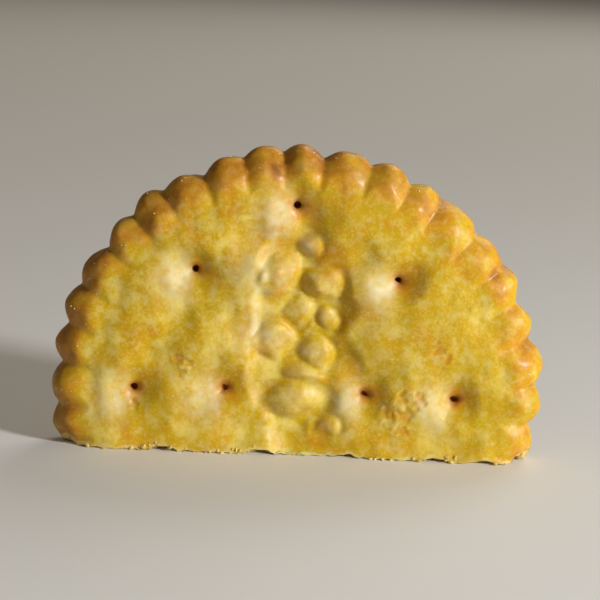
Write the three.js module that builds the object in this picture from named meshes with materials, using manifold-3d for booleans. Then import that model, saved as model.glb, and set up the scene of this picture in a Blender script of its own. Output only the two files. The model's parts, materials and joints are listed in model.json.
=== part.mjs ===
// Half of a round, golden butter cracker with a scalloped rim, standing on its broken edge.
// The whole disc is built first, from rings of vertices, and the lower part is then snapped off.
// Millimetres. +X runs along the broken edge, +Y through the thickness, +Z up.
// The shown face looks towards -Y. The origin is the middle of the broken edge, at its foot.

import * as THREE from "three";
import { mergeVertices } from "three/addons/utils/BufferGeometryUtils.js";
import Module from "manifold-3d";

// The disc.
const TIP_RADIUS = 24; // centre of the disc to the crest of a scallop
const FACE_RADIUS = 20.6; // the face runs flat out to here, then rolls over into the rim
const HALF_THICKNESS = 2.6; // middle plane to the flat of a face
const ROLL_POWER = 2.3; // the rim's section is a superellipse, squarer than a circle
const SADDLE = 0.25; // the disc is warped by this much at its edge

// The snap.
const BREAK_BELOW_CENTRE = 6; // the broken edge, under the centre of the disc

// The scallops.
const SCALLOPS = 36;
const NOTCH_DEPTH = 0.9; // at the middle of the rim
const LOBE_POWER = 2.1; // the outline of a scallop from its crest to its notch
const GROOVE_FADE = 0.6; // how fast a notch gets shallower over the rim towards the face
const CREST_SPREAD = 0.22; // a crest may stand this much lower than the highest
const SEED = 11;

// Mesh steps. Each ring of a face has as many more vertices as its first one has.
const RIM_VERTICES = 6 * SCALLOPS;
const FACE_RINGS = 36;
const BACK_RINGS = 12; // the back is plainer
const RIM_STEPS = 8; // from the shown face round to the back

// Docker holes, from the centre of the disc: x, z.
const HOLES = [
  [-10.2, 11.8],
  [-0.6, 18.4],
  [9.3, 11.6],
  [-15.7, 0],
  [-6.9, 0.3],
  [6.6, 0.3],
  [15.3, 0.1],
];
const DIMPLE_DEPTH = 1.3; // a dimple is a cone whose slope runs out softly
const DIMPLE_REACH = 2.7;
const DIMPLE_FOOT = 0.03; // how softly
const BACK_DIMPLE_DEPTH = 0.35;
const PIT_RADIUS = 0.48;
const PIT_DEPTH = 1.9; // under the flat of the face
const PIT_SIDES = 8;

// A faint valley parts the shown face from the rim.
const VALLEY = { radius: 19.9, reach: 1.1, depth: 0.16 };

// A sunk band down the middle of the shown face. Its edge slopes between two shares of its size.
const BAND = { x: 0.3, z: 5.4, halfWidth: 5.2, halfHeight: 11.8, depth: 0.6 };
const BAND_FLOOR = 0.72;
const BAND_EDGE = 1.1;

// The shown face is dished towards the band. The dish fades out between two radii.
const DISH = { reach: 7.5, depth: 0.6, fadeStart: 15, fadeEnd: 20.6 };

// Blisters in the band: x, z, half width, half height, turn in degrees, rise.
const BLISTERS = [
  [0.5, 14.6, 1.5, 1.0, 12, 0.4],
  [-2.1, 11.6, 2.3, 1.8, 58, 0.75],
  [2.1, 11.0, 1.9, 1.6, -25, 0.7],
  [-0.1, 8.2, 1.4, 1.1, 30, 0.4],
  [2.7, 7.6, 1.2, 1.0, -10, 0.4],
  [-2.2, 5.2, 2.1, 1.7, 15, 0.7],
  [1.5, 4.4, 1.8, 1.4, -35, 0.6],
  [0.4, 2.0, 2.2, 0.8, -8, 0.3],
  [-0.4, -0.6, 3.1, 1.7, 6, 0.75],
  [3.1, -2.9, 1.1, 0.9, 20, 0.35],
];

// Low swellings between the holes of the shown face: x, z, reach, rise.
const SWELLINGS = [
  [-14.5, 7.2, 3.4, 0.2],
  [-8.2, 6.2, 3.2, 0.16],
  [-6.8, 16.4, 3.0, 0.18],
  [7.2, 16.6, 3.0, 0.16],
  [8.4, 5.8, 3.0, 0.18],
  [15.0, 6.4, 3.6, 0.2],
  [-11.3, -3.6, 3.0, 0.14],
  [11.2, -3.4, 2.6, 0.16],
];

// Crumbs lost along the broken edge: x, y, z, radius. Negative y is the shown face.
const CHIPS = [
  [23.2, -1.6, -0.1, 1.2],
  [-22.9, -2.0, 0, 0.9],
  [-12.6, -2.5, -0.1, 0.6],
  [-3.4, -2.5, -0.2, 0.7],
  [5.2, -2.4, -0.1, 0.5],
  [13.8, -2.5, 0, 0.6],
  [18.6, -2.4, -0.1, 0.5],
  [-17.2, 2.5, 0, 0.8],
  [-6.4, 2.4, 0, 0.7],
  [9.6, 2.5, 0, 0.9],
  [20.1, 2.4, 0, 0.6],
];
const CHIP_STRETCH = 1.5; // a chip is longer along the edge than it is deep

// Hollows between the layers, open in the broken face: x, y, half length, half width, depth.
const HOLLOWS = [
  [-18.4, 0.2, 1.7, 0.6, 0.7],
  [-12.0, -0.5, 2.2, 0.5, 0.6],
  [-6.0, 0.5, 1.6, 0.7, 0.8],
  [5.8, -0.4, 1.9, 0.6, 0.7],
  [11.6, 0.4, 2.3, 0.6, 0.6],
  [17.6, -0.2, 1.6, 0.7, 0.8],
];

const CUTTER = 80; // side of the block that takes the lower part of the disc away

const wasm = await Module();
wasm.setup();

function seededRandom(seed) {
  let state = seed;
  return () => {
    state = (state * 1664525 + 1013904223) % 4294967296;
    return state / 4294967296;
  };
}

// One crest height for each scallop. The two at the ends of the X axis stay at full height.
function makeCrests() {
  const random = seededRandom(SEED);
  const crests = Array.from({ length: SCALLOPS }, () => CREST_SPREAD * random());
  crests[0] = 0;
  crests[SCALLOPS / 2] = 0;
  return crests;
}

const CRESTS = makeCrests();

// How far the rim stands in from its full radius at an angle, crest and notch together.
function scallopInset(angle) {
  const turn = (angle / (2 * Math.PI)) * SCALLOPS;
  const nearest = Math.round(turn);
  const offset = Math.min(1, 2 * Math.abs(turn - nearest));
  const crest = CRESTS[((nearest % SCALLOPS) + SCALLOPS) % SCALLOPS];
  const shape = Math.pow(offset, LOBE_POWER);
  return crest * (1 - shape) + NOTCH_DEPTH * shape;
}

// A smooth mound of height 1 that reaches 0 at its edge.
function mound(x, z, reach) {
  const square = (x * x + z * z) / (reach * reach);
  return square < 1 ? (1 - square) ** 2 : 0;
}

function blisterRise(x, z) {
  let rise = 0;
  for (const [cx, cz, halfWidth, halfHeight, turn, height] of BLISTERS) {
    const angle = THREE.MathUtils.degToRad(turn);
    const u = (x - cx) * Math.cos(angle) + (z - cz) * Math.sin(angle);
    const v = (z - cz) * Math.cos(angle) - (x - cx) * Math.sin(angle);
    const square = (u / halfWidth) ** 2 + (v / halfHeight) ** 2;
    rise = Math.max(rise, height * (1 - square));
  }
  return rise;
}

// The depth of the nearest dimples at a point of the disc, as a share of a dimple's full depth.
function dimple(x, z) {
  let sum = 0;
  for (const [cx, cz] of HOLES) {
    const left = 1 - Math.hypot(x - cx, z - cz) / DIMPLE_REACH;
    sum += (left + Math.sqrt(left * left + DIMPLE_FOOT)) / 2;
  }
  return sum;
}

function bandDepth(x, z) {
  const out = Math.hypot((x - BAND.x) / BAND.halfWidth, (z - BAND.z) / BAND.halfHeight);
  return BAND.depth * (1 - THREE.MathUtils.smoothstep(out, BAND_FLOOR, BAND_EDGE));
}

function dishDepth(x, z) {
  const fade = THREE.MathUtils.smoothstep(Math.hypot(x, z), DISH.fadeStart, DISH.fadeEnd);
  return DISH.depth * Math.exp(-(((x - BAND.x) / DISH.reach) ** 2)) * (1 - fade);
}

function valleyDepth(x, z) {
  return VALLEY.depth * Math.exp(-(((Math.hypot(x, z) - VALLEY.radius) / VALLEY.reach) ** 2));
}

// Relief of the shown face over its flat, at a point of the disc.
function faceRelief(x, z) {
  let relief = -bandDepth(x, z) - dishDepth(x, z) - valleyDepth(x, z);
  relief -= DIMPLE_DEPTH * dimple(x, z);
  for (const [cx, cz, reach, rise] of SWELLINGS) {
    relief += rise * mound(x - cx, z - cz, reach);
  }
  return relief + blisterRise(x, z);
}

// Relief of the back, which is plainer: a smaller dimple round each hole.
function backRelief(x, z) {
  return -BACK_DIMPLE_DEPTH * dimple(x, z);
}

function saddle(x, z) {
  return (SADDLE * (x * x - z * z)) / (TIP_RADIUS * TIP_RADIUS);
}

// A vertex on a face. The side is -1 on the shown face and 1 on the back.
function facePoint(radius, angle, side) {
  const x = radius * Math.cos(angle);
  const z = radius * Math.sin(angle);
  const relief = side < 0 ? faceRelief(x, z) : backRelief(x, z);
  return new THREE.Vector3(x, saddle(x, z) + side * (HALF_THICKNESS + relief), z);
}

// A vertex on the rim. The tilt is 90 degrees at the shown face, 0 at the crest, -90 at the back.
function rimPoint(tilt, angle) {
  const across = Math.max(0, Math.cos(tilt));
  const through = Math.sin(tilt);
  const outwards = Math.pow(across, 2 / ROLL_POWER);
  const upwards = Math.sign(through) * Math.pow(Math.abs(through), 2 / ROLL_POWER);
  const inset = scallopInset(angle) * Math.pow(across, GROOVE_FADE);
  const radius = FACE_RADIUS + (TIP_RADIUS - FACE_RADIUS) * outwards - inset * across;
  const height = HALF_THICKNESS * upwards - inset * through;
  const x = radius * Math.cos(angle);
  const z = radius * Math.sin(angle);
  return new THREE.Vector3(x, saddle(x, z) - height, z);
}

// The rings of one face, from its centre out: ring k has k times as many vertices as the first.
function faceRings(rings, side) {
  const all = [[facePoint(0, 0, side)]];
  for (let k = 1; k <= rings; k++) {
    const count = (RIM_VERTICES / rings) * k;
    const radius = (FACE_RADIUS * k) / rings;
    const ring = Array.from({ length: count }, (_, i) =>
      facePoint(radius, (2 * Math.PI * i) / count, side),
    );
    all.push(ring);
  }
  return all;
}

function rimRing(step) {
  const tilt = Math.PI / 2 - (Math.PI * step) / RIM_STEPS;
  return Array.from({ length: RIM_VERTICES }, (_, i) =>
    rimPoint(tilt, (2 * Math.PI * i) / RIM_VERTICES),
  );
}

// Triangles between ring k - 1 and ring k of a face, one sector after another.
function fanBand(inner, outer, k, add) {
  for (let s = 0; s < outer.length / k; s++) {
    for (let i = 0; i < k; i++) {
      const near = inner[(s * (k - 1) + i) % inner.length];
      const first = outer[(s * k + i) % outer.length];
      const second = outer[(s * k + i + 1) % outer.length];
      add(near, first, second);
      if (i < k - 1) {
        add(near, second, inner[(s * (k - 1) + i + 1) % inner.length]);
      }
    }
  }
}

// Triangles between two rings of the rim.
function rimBand(before, after, add) {
  for (let i = 0; i < before.length; i++) {
    const j = (i + 1) % before.length;
    add(before[i], after[i], after[j]);
    add(before[i], after[j], before[j]);
  }
}

function discGeometry() {
  const positions = [];
  const add = (a, b, c) => positions.push(...a.toArray(), ...b.toArray(), ...c.toArray());
  const addTurned = (a, b, c) => add(a, c, b);

  const front = faceRings(FACE_RINGS, -1);
  const back = faceRings(BACK_RINGS, 1);
  for (let k = 1; k <= FACE_RINGS; k++) {
    fanBand(front[k - 1], front[k], k, add);
  }
  for (let k = 1; k <= BACK_RINGS; k++) {
    fanBand(back[k - 1], back[k], k, addTurned);
  }

  let ring = front[FACE_RINGS];
  for (let step = 1; step < RIM_STEPS; step++) {
    const next = rimRing(step);
    rimBand(ring, next, add);
    ring = next;
  }
  rimBand(ring, back[BACK_RINGS], add);

  const geometry = new THREE.BufferGeometry();
  geometry.setAttribute("position", new THREE.Float32BufferAttribute(positions, 3));
  return geometry;
}

function toSolid(geometry) {
  const bare = geometry.clone();
  bare.deleteAttribute("normal");
  bare.deleteAttribute("uv");
  const merged = mergeVertices(bare);
  return new wasm.Manifold(
    new wasm.Mesh({
      numProp: 3,
      vertProperties: new Float32Array(merged.attributes.position.array),
      triVerts: new Uint32Array(merged.index.array),
    }),
  );
}

function toGeometry(solid) {
  const mesh = solid.getMesh();
  const geometry = new THREE.BufferGeometry();
  geometry.setAttribute("position", new THREE.BufferAttribute(mesh.vertProperties, 3));
  geometry.setIndex(new THREE.BufferAttribute(mesh.triVerts, 1));
  return geometry;
}

// The pit that a docker pin leaves in a face, as the cylinder that cuts it.
function pitCutter(x, z, side) {
  const cutter = new THREE.CylinderGeometry(PIT_RADIUS, PIT_RADIUS, 2 * PIT_DEPTH, PIT_SIDES);
  return cutter.translate(x, side * HALF_THICKNESS + saddle(x, z), z);
}

function lumpCutter(radiusX, radiusY, radiusZ) {
  return new THREE.IcosahedronGeometry(1, 1).scale(radiusX, radiusY, radiusZ);
}

function breakCutter() {
  const block = new THREE.BoxGeometry(CUTTER, CUTTER, CUTTER);
  return block.translate(0, 0, -BREAK_BELOW_CENTRE - CUTTER / 2);
}

function chipCutter([x, y, z, radius]) {
  const chip = lumpCutter(CHIP_STRETCH * radius, radius, radius);
  return chip.translate(x, y + saddle(x, -BREAK_BELOW_CENTRE), z - BREAK_BELOW_CENTRE);
}

function hollowCutter([x, y, halfLength, halfWidth, depth]) {
  const hollow = lumpCutter(halfLength, halfWidth, depth);
  return hollow.translate(x, y + saddle(x, -BREAK_BELOW_CENTRE), -BREAK_BELOW_CENTRE);
}

function crackerGeometry() {
  const cutters = [
    ...HOLES.flatMap(([x, z]) => [pitCutter(x, z, -1), pitCutter(x, z, 1)]),
    breakCutter(),
    ...CHIPS.map(chipCutter),
    ...HOLLOWS.map(hollowCutter),
  ];
  let solid = toSolid(discGeometry());
  for (const cutter of cutters) {
    solid = solid.subtract(toSolid(cutter));
  }
  return toGeometry(solid);
}

// Puts the origin under the middle of the piece, on the broken edge.
function standOnBreak(geometry) {
  geometry.computeBoundingBox();
  const box = geometry.boundingBox;
  const middle = box.getCenter(new THREE.Vector3());
  return geometry.translate(-middle.x, -middle.y, -box.min.z);
}

function buildCracker() {
  const baked = new THREE.MeshStandardMaterial({
    color: 0xc99c3d,
    roughness: 0.62,
    metalness: 0,
  });
  const cracker = new THREE.Mesh(standOnBreak(crackerGeometry()), baked);
  cracker.name = "cracker_half";
  return cracker;
}

const group = new THREE.Group();
group.add(buildCracker());

export default group;
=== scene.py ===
"""The looks of a broken cracker half: a golden disc with a scalloped rim, snapped across.

The piece stands on its broken edge. +X runs along that edge, +Y through the thickness and +Z up,
and the shown face looks towards -Y. Blender's side is in metres. The disc's own shape is worked
out in millimetres from the middle of the whole disc, which lies above the broken edge.
"""

import json
import logging
import math
from dataclasses import dataclass, field
from enum import Enum

import bpy
import numpy as np
from mathutils import Euler, Matrix, Vector

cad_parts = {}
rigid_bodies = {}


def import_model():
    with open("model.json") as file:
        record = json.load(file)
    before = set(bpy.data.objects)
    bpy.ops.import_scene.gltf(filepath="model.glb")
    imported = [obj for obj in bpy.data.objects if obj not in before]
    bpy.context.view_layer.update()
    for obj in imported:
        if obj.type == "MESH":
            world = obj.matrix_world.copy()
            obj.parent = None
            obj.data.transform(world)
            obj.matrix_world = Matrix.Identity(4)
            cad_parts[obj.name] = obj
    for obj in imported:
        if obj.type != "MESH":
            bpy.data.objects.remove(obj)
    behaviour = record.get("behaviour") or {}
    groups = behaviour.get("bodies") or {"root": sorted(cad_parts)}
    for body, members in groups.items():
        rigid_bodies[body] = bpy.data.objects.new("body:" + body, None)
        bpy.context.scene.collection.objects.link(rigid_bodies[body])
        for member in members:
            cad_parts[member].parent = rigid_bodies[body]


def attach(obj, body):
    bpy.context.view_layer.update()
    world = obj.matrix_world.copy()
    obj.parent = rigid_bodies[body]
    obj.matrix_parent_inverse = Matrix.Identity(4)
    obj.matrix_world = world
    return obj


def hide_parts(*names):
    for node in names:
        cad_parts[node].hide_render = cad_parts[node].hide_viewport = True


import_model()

MM = 0.001
TINY = 1e-9
NODE = "cracker_half"
BODY = "root"

Span = tuple[float, float]  # where something starts and where it is full, or a least and a most

log = logging.getLogger("cracker")


# ---------------------------------------------------------------------------------------------
# Small helpers for modelling by hand
# ---------------------------------------------------------------------------------------------


def deselect_all() -> None:
    """Leaves nothing selected, the loaded nodes included."""
    for each in bpy.context.view_layer.objects:
        each.select_set(False)


def take_new(name: str) -> bpy.types.Object:
    """Names the object that an operator has just added.

    Args:
        name: The piece's name.

    Returns:
        The new object, which is also the active one.
    """
    piece = bpy.context.active_object
    piece.name = name
    piece.data.name = name
    return piece


def make_active(piece: bpy.types.Object) -> None:
    """Makes a piece the only selected object and the active one.

    Args:
        piece: The object to work on.
    """
    deselect_all()
    piece.select_set(True)
    bpy.context.view_layer.objects.active = piece


def apply_modifier(piece: bpy.types.Object, kind: str, **settings: object) -> None:
    """Adds a modifier to a piece and applies it at once.

    Args:
        piece: The object to change.
        kind: The modifier's type, such as REMESH.
        settings: The modifier's properties by name.
    """
    make_active(piece)
    modifier = piece.modifiers.new(kind.lower(), kind)
    for name, value in settings.items():
        setattr(modifier, name, value)
    bpy.ops.object.modifier_apply(modifier=modifier.name)


def join_pieces(pieces: list[bpy.types.Object], name: str) -> bpy.types.Object:
    """Joins objects into one whose place is in its mesh.

    Args:
        pieces: The objects, which become one.
        name: The name of the joined object.

    Returns:
        The joined object, at the origin, unturned and unscaled.
    """
    make_active(pieces[0])
    for each in pieces:
        each.select_set(True)
    if len(pieces) > 1:
        bpy.ops.object.join()
    joined = take_new(name)
    bpy.ops.object.transform_apply(location=True, rotation=True, scale=True)
    return joined


def write_mask(mesh: bpy.types.Mesh, name: str, values: np.ndarray) -> None:
    """Stores one number for each vertex, for a material to read.

    Args:
        mesh: The mesh that gets the attribute.
        name: The attribute's name.
        values: One value for each vertex.
    """
    layer = mesh.attributes.new(name, "FLOAT", "POINT")
    layer.data.foreach_set("value", values.astype(np.float32))


def read_points(mesh: bpy.types.Mesh) -> np.ndarray:
    """The mesh's vertices, as rows of X, Y and Z.

    Args:
        mesh: The mesh to read.

    Returns:
        The rows.
    """
    flat = np.empty(len(mesh.vertices) * 3)
    mesh.vertices.foreach_get("co", flat)
    return flat.reshape(-1, 3)


def write_points(mesh: bpy.types.Mesh, points: np.ndarray) -> None:
    """Moves the mesh's vertices to rows of X, Y and Z."""
    mesh.vertices.foreach_set("co", points.ravel())
    mesh.update()


def smooth_step(low: float, high: float, value: np.ndarray) -> np.ndarray:
    """Rises smoothly from 0 at one value to 1 at another.

    Args:
        low: Where the result is 0.
        high: Where the result is 1.
        value: The numbers to map.

    Returns:
        The mapped numbers, from 0 to 1.
    """
    t = np.clip((value - low) / (high - low), 0.0, 1.0)
    return t * t * (3.0 - 2.0 * t)


def bell(away: np.ndarray, reach: float) -> np.ndarray:
    """A soft hill by the distance from its middle: 1 there, about a third at its reach."""
    return np.exp(-((away / reach) ** 2))


# ---------------------------------------------------------------------------------------------
# The disc, and the points of its skin
# ---------------------------------------------------------------------------------------------


class Side(Enum):
    """The two faces of the disc, by the sign of Y."""

    SHOWN = -1
    BACK = 1


@dataclass(frozen=True)
class Disc:
    """The whole disc that the piece was snapped from, in millimetres."""

    tip_radius: float = 24.0
    face_radius: float = 20.6
    half_thickness: float = 2.6
    roll_power: float = 2.3
    saddle_rise: float = 0.25
    centre_height: float = 6.0  # over the broken edge
    mid_plane: float = -0.018  # the piece's box is centred, so the disc stands this far towards +Y

    def centre(self) -> Vector:
        """The middle of the disc, in metres."""
        return Vector((0.0, self.mid_plane * MM, self.centre_height * MM))

    def rim_width(self) -> float:
        """How far the tips of the rim lie outside the face."""
        return self.tip_radius - self.face_radius

    def rim_section(self, steps: int) -> list[tuple[float, float]]:
        """The rim's section from the shown face round to the back.

        Args:
            steps: The number of steps.

        Returns:
            A list of radius and Y, after the edge of the shown face.
        """
        section = []
        for step in range(1, steps + 1):
            tilt = math.pi / 2 - math.pi * step / steps
            across = max(0.0, math.cos(tilt)) ** (2 / self.roll_power)
            through = math.copysign(abs(math.sin(tilt)) ** (2 / self.roll_power), math.sin(tilt))
            radius = self.face_radius + self.rim_width() * across
            section.append((radius, -self.half_thickness * through))
        return section

    def saddle(self, x: np.ndarray, z: np.ndarray) -> np.ndarray:
        """How far the warped disc stands towards +Y at a point."""
        return self.saddle_rise * (x * x - z * z) / self.tip_radius**2


class Skin:
    """The vertices of a mesh, in millimetres from the middle of the disc."""

    facing = 0.8  # from this share of the half thickness a point belongs to one face alone

    def __init__(self, mesh: bpy.types.Mesh, disc: Disc) -> None:
        """Reads the vertices.

        Args:
            mesh: The mesh to read.
            disc: The disc that the mesh is part of.
        """
        self.disc = disc
        self.middle = np.array(disc.centre()) / MM
        self.points = read_points(mesh) / MM - self.middle
        self.x, self.y, self.z = self.points.T.copy()
        self.radius = np.hypot(self.x, self.z)
        self.angle = np.arctan2(self.z, self.x)
        self.above_break = self.z + disc.centre_height
        self.roll = np.clip((self.radius - disc.face_radius) / disc.rim_width(), 0.0, None)
        self.through = np.abs(self.y) / disc.half_thickness
        power = disc.roll_power
        self.fullness = np.clip(self.roll**power + self.through**power, 0.0, 1.0)
        self.shown = smooth_step(0.0, self.facing, -self.y / disc.half_thickness)
        self.back = smooth_step(0.0, self.facing, self.y / disc.half_thickness)

    def outwards(self) -> np.ndarray:
        """The direction out of the rounded disc at each vertex.

        Returns:
            Rows of X, Y and Z, each of length 1.
        """
        power = self.disc.roll_power
        spread = self.roll ** (power - 1) / self.disc.rim_width()
        depth = self.through ** (power - 1) / self.disc.half_thickness
        radius = np.maximum(self.radius, TINY)
        way = np.stack(
            [spread * self.x / radius, np.sign(self.y) * depth, spread * self.z / radius], axis=1
        )
        return way / np.maximum(np.linalg.norm(way, axis=1, keepdims=True), TINY)

    def away_from(self, x: float, z: float) -> np.ndarray:
        """The distance from each point to a place, across the face."""
        return np.hypot(self.x - x, self.z - z)

    def write(self, mesh: bpy.types.Mesh) -> None:
        """Puts the points back as the vertices of the mesh that they were read from."""
        write_points(mesh, (self.points + self.middle) * MM)


@dataclass(frozen=True)
class Waves:
    """Smooth seeded noise about 0, as a sum of plane waves."""

    length: float  # millimetres
    seed: int
    stretch: tuple[float, float, float] = (1.0, 1.0, 1.0)
    count: int = 28
    spread: Span = (0.65, 1.6)  # of the lengths

    def at(self, points: np.ndarray) -> np.ndarray:
        """The noise at some points, with a spread of about 1.

        Args:
            points: Rows of X, Y and Z in millimetres.

        Returns:
            One value for each point.
        """
        draw = np.random.default_rng(self.seed)
        ways = draw.normal(size=(self.count, 3))
        ways /= np.linalg.norm(ways, axis=1, keepdims=True)
        lengths = self.length * draw.uniform(*self.spread, self.count)
        phases = draw.uniform(0.0, 2 * math.pi, self.count)
        scaled = points / np.array(self.stretch)
        total = np.zeros(len(points))
        for way, length, phase in zip(ways, lengths, phases):
            total += np.sin(scaled @ way * (2 * math.pi / length) + phase)
        return total / math.sqrt(self.count / 2)


# ---------------------------------------------------------------------------------------------
# The relief, one class for each form. A rise is in millimetres out of the skin.
# ---------------------------------------------------------------------------------------------


@dataclass(frozen=True)
class ScallopedRim:
    """Convex lobes round the rim, with a sharp notch between each two."""

    count: int = 36
    notch_depth: float = 0.95
    depth_spread: float = 0.15
    notch_shift: float = 0.085  # of the pitch, to either side
    notch_round: float = 0.06  # how blunt its bottom is
    notch_hollow: float = 1.9  # how hollow its sides are
    groove_start: float = 19.9  # radius at which a notch has faded out on the face
    groove_width: float = 0.12  # its width there, as a share of the full one
    full_width: float = 22.2  # radius from which a notch is as wide as a lobe
    widening: float = 0.8  # how fast it gets there
    deepening: float = 0.75
    crest_spread: float = 0.22
    crest_start: float = 0.3  # how far round the rim a low crest starts to drop
    valley_radius: float = 19.9  # a faint valley parts the face from the lobes
    valley_reach: float = 1.1
    valley_depth: float = 0.16
    seed: int = 11
    rule_factor: int = 1664525  # of the simple random rule for the crests
    rule_step: int = 1013904223
    rule_range: int = 2**32

    def crests(self) -> np.ndarray:
        """How much lower each crest stands than the highest. Those on the X axis stay high.

        Returns:
            One drop in millimetres for each crest.
        """
        state = self.seed
        drops = []
        for _ in range(self.count):
            state = (state * self.rule_factor + self.rule_step) % self.rule_range
            drops.append(self.crest_spread * state / self.rule_range)
        drops[0] = 0.0
        drops[self.count // 2] = 0.0
        return np.array(drops)

    def nearest_notch(self, skin: Skin) -> tuple[np.ndarray, np.ndarray]:
        """Finds the notch that is nearest to each point.

        Args:
            skin: The points.

        Returns:
            The distance to it in millimetres round the disc, and its number.
        """
        draw = np.random.default_rng(self.seed)
        shifts = draw.uniform(-self.notch_shift, self.notch_shift, self.count)
        turn = skin.angle / (2 * math.pi) * self.count
        before = np.floor(turn - 0.5).astype(int)
        gap_before = np.abs(turn - (before + 0.5 + shifts[before % self.count]))
        gap_after = np.abs(before + 1.5 + shifts[(before + 1) % self.count] - turn)
        nearest = np.where(gap_before < gap_after, before, before + 1) % self.count
        gap = np.minimum(gap_before, gap_after)
        return gap * 2 * math.pi / self.count * skin.radius, nearest

    def notch(self, skin: Skin) -> np.ndarray:
        """How deep in a notch each point is, from 0 on a crest to 1 at the bottom.

        Args:
            skin: The points.

        Returns:
            From 0 to 1.
        """
        distance, _ = self.nearest_notch(skin)
        half_pitch = math.pi / self.count * skin.disc.tip_radius
        start = self.groove_start
        spread = np.clip((skin.radius - start) / (self.full_width - start), 0.0, 1.0)
        share = self.groove_width + (1.0 - self.groove_width) * spread**self.widening
        near = np.hypot(distance / (half_pitch * share), self.notch_round) - self.notch_round
        return np.clip(1.0 - near, 0.0, 1.0) ** self.notch_hollow

    def rise(self, skin: Skin) -> np.ndarray:
        """The rim's rise, which is never above 0.

        Args:
            skin: The points.

        Returns:
            The rise of each.
        """
        _, nearest = self.nearest_notch(skin)
        draw = np.random.default_rng(self.seed + 1)
        depths = self.notch_depth + draw.uniform(-1, 1, self.count) * self.depth_spread
        reach = (skin.radius - self.groove_start) / (skin.disc.tip_radius - self.groove_start)
        fade = np.clip(reach, 0.0, 1.0) ** self.deepening
        notch = self.notch(skin)
        lobe = np.round(skin.angle / (2 * math.pi) * self.count).astype(int) % self.count
        crest = self.crests()[lobe] * (1 - notch) * smooth_step(self.crest_start, 1.0, skin.roll)
        valley = bell(skin.radius - self.valley_radius, self.valley_reach)
        return -depths[nearest] * notch * fade - crest - self.valley_depth * valley * skin.shown


@dataclass(frozen=True)
class DockerHoles:
    """Seven holes that pins left in the dough, each in a soft dimple."""

    places: tuple[tuple[float, float], ...] = (
        (-10.2, 11.8),
        (-0.6, 18.4),
        (9.3, 11.6),
        (-15.7, 0.0),
        (-6.9, 0.3),
        (6.6, 0.3),
        (15.3, 0.1),
    )
    depth: float = 1.4
    depth_spread: Span = (0.85, 1.1)
    back_depth: float = 0.5
    reach: float = 2.7
    length: float = 1.1  # a dimple is longer than its reach by this
    width: float = 0.92  # and narrower by this
    foot: float = 0.03  # how softly a dimple's slope runs out
    foot_end: Span = (2.0, 1.2)  # where it has run out, and where it starts to
    lip_depth: float = 0.2  # the skin is drawn in round a pit's mouth
    lip_reach: float = 0.62
    pit_radius: float = 0.46
    pit_taper: float = 0.75
    pit_width: Span = (0.85, 1.15)  # in its radius
    pit_height: Span = (0.7, 1.0)
    pit_floor: float = -0.2  # over the middle plane, in the shown face
    low_pit_floor: float = 0.5  # of the holes beside the break
    low_row: float = 5.0  # which lie below this Z
    back_pit_floor: float = 1.2
    pit_sides: int = 20
    pin_overhang: float = 0.6
    seed: int = 5

    def distance(self, skin: Skin) -> np.ndarray:
        """The distance from each point to the nearest hole, across the face."""
        return np.min([skin.away_from(x, z) for x, z in self.places], axis=0)

    def rise(self, skin: Skin) -> np.ndarray:
        """The dimples, which are deepest on the shown face.

        Args:
            skin: The points.

        Returns:
            The rise of each, which is never above 0.
        """
        total = np.zeros(len(skin.x))
        draw = np.random.default_rng(self.seed)
        for x, z in self.places:
            lean = draw.uniform(0.0, math.pi)
            along = (skin.x - x) * math.cos(lean) + (skin.z - z) * math.sin(lean)
            across = (skin.z - z) * math.cos(lean) - (skin.x - x) * math.sin(lean)
            out = np.hypot(along / (self.length * self.reach), across / (self.width * self.reach))
            left = 1.0 - out
            bowl = (left + np.sqrt(left**2 + self.foot)) / 2 * smooth_step(*self.foot_end, out)
            dimple = self.depth * draw.uniform(*self.depth_spread) * bowl
            lip = self.lip_depth * bell(np.hypot(along, across), self.lip_reach)
            total -= (dimple + lip) * skin.shown + self.back_depth * bowl * skin.back
        return total

    def floor(self, y: float | np.ndarray, z: float | np.ndarray) -> np.ndarray:
        """How far over the middle plane the floor of a pit lies, by its side and its Z."""
        shown = np.where(z > self.low_row, self.pit_floor, self.low_pit_floor)
        return np.where(y < 0, shown, self.back_pit_floor)

    def sinking(self, skin: Skin) -> np.ndarray:
        """How far a pit's wall follows its dimple: from 0 at its floor to 1 at its mouth."""
        floor = self.floor(skin.y, skin.z)
        return np.clip((np.abs(skin.y) - floor) / (skin.disc.half_thickness - floor), 0.0, 1.0)

    def cutters(self, disc: Disc) -> list[bpy.types.Object]:
        """Makes the tapered pins that cut the pits.

        Args:
            disc: The disc that they are cut from.

        Returns:
            One pin for each hole and face.
        """
        pins = []
        draw = np.random.default_rng(self.seed + 1)
        top = disc.half_thickness + self.pin_overhang
        for x, z in self.places:
            for side in Side:
                floor = float(self.floor(side.value, z))
                middle = side.value * (top + floor) / 2
                place = disc.centre() + Vector((x, middle + float(disc.saddle(x, z)), z)) * MM
                deselect_all()
                bpy.ops.mesh.primitive_cone_add(
                    vertices=self.pit_sides,
                    radius1=self.pit_radius * MM,
                    radius2=self.pit_taper * self.pit_radius * MM,
                    depth=(top - floor) * MM,
                    location=place,
                    rotation=(side.value * math.pi / 2, 0.0, 0.0),
                    scale=(draw.uniform(*self.pit_width), draw.uniform(*self.pit_height), 1.0),
                )
                pins.append(take_new("docker_pin"))
        return pins


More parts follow.
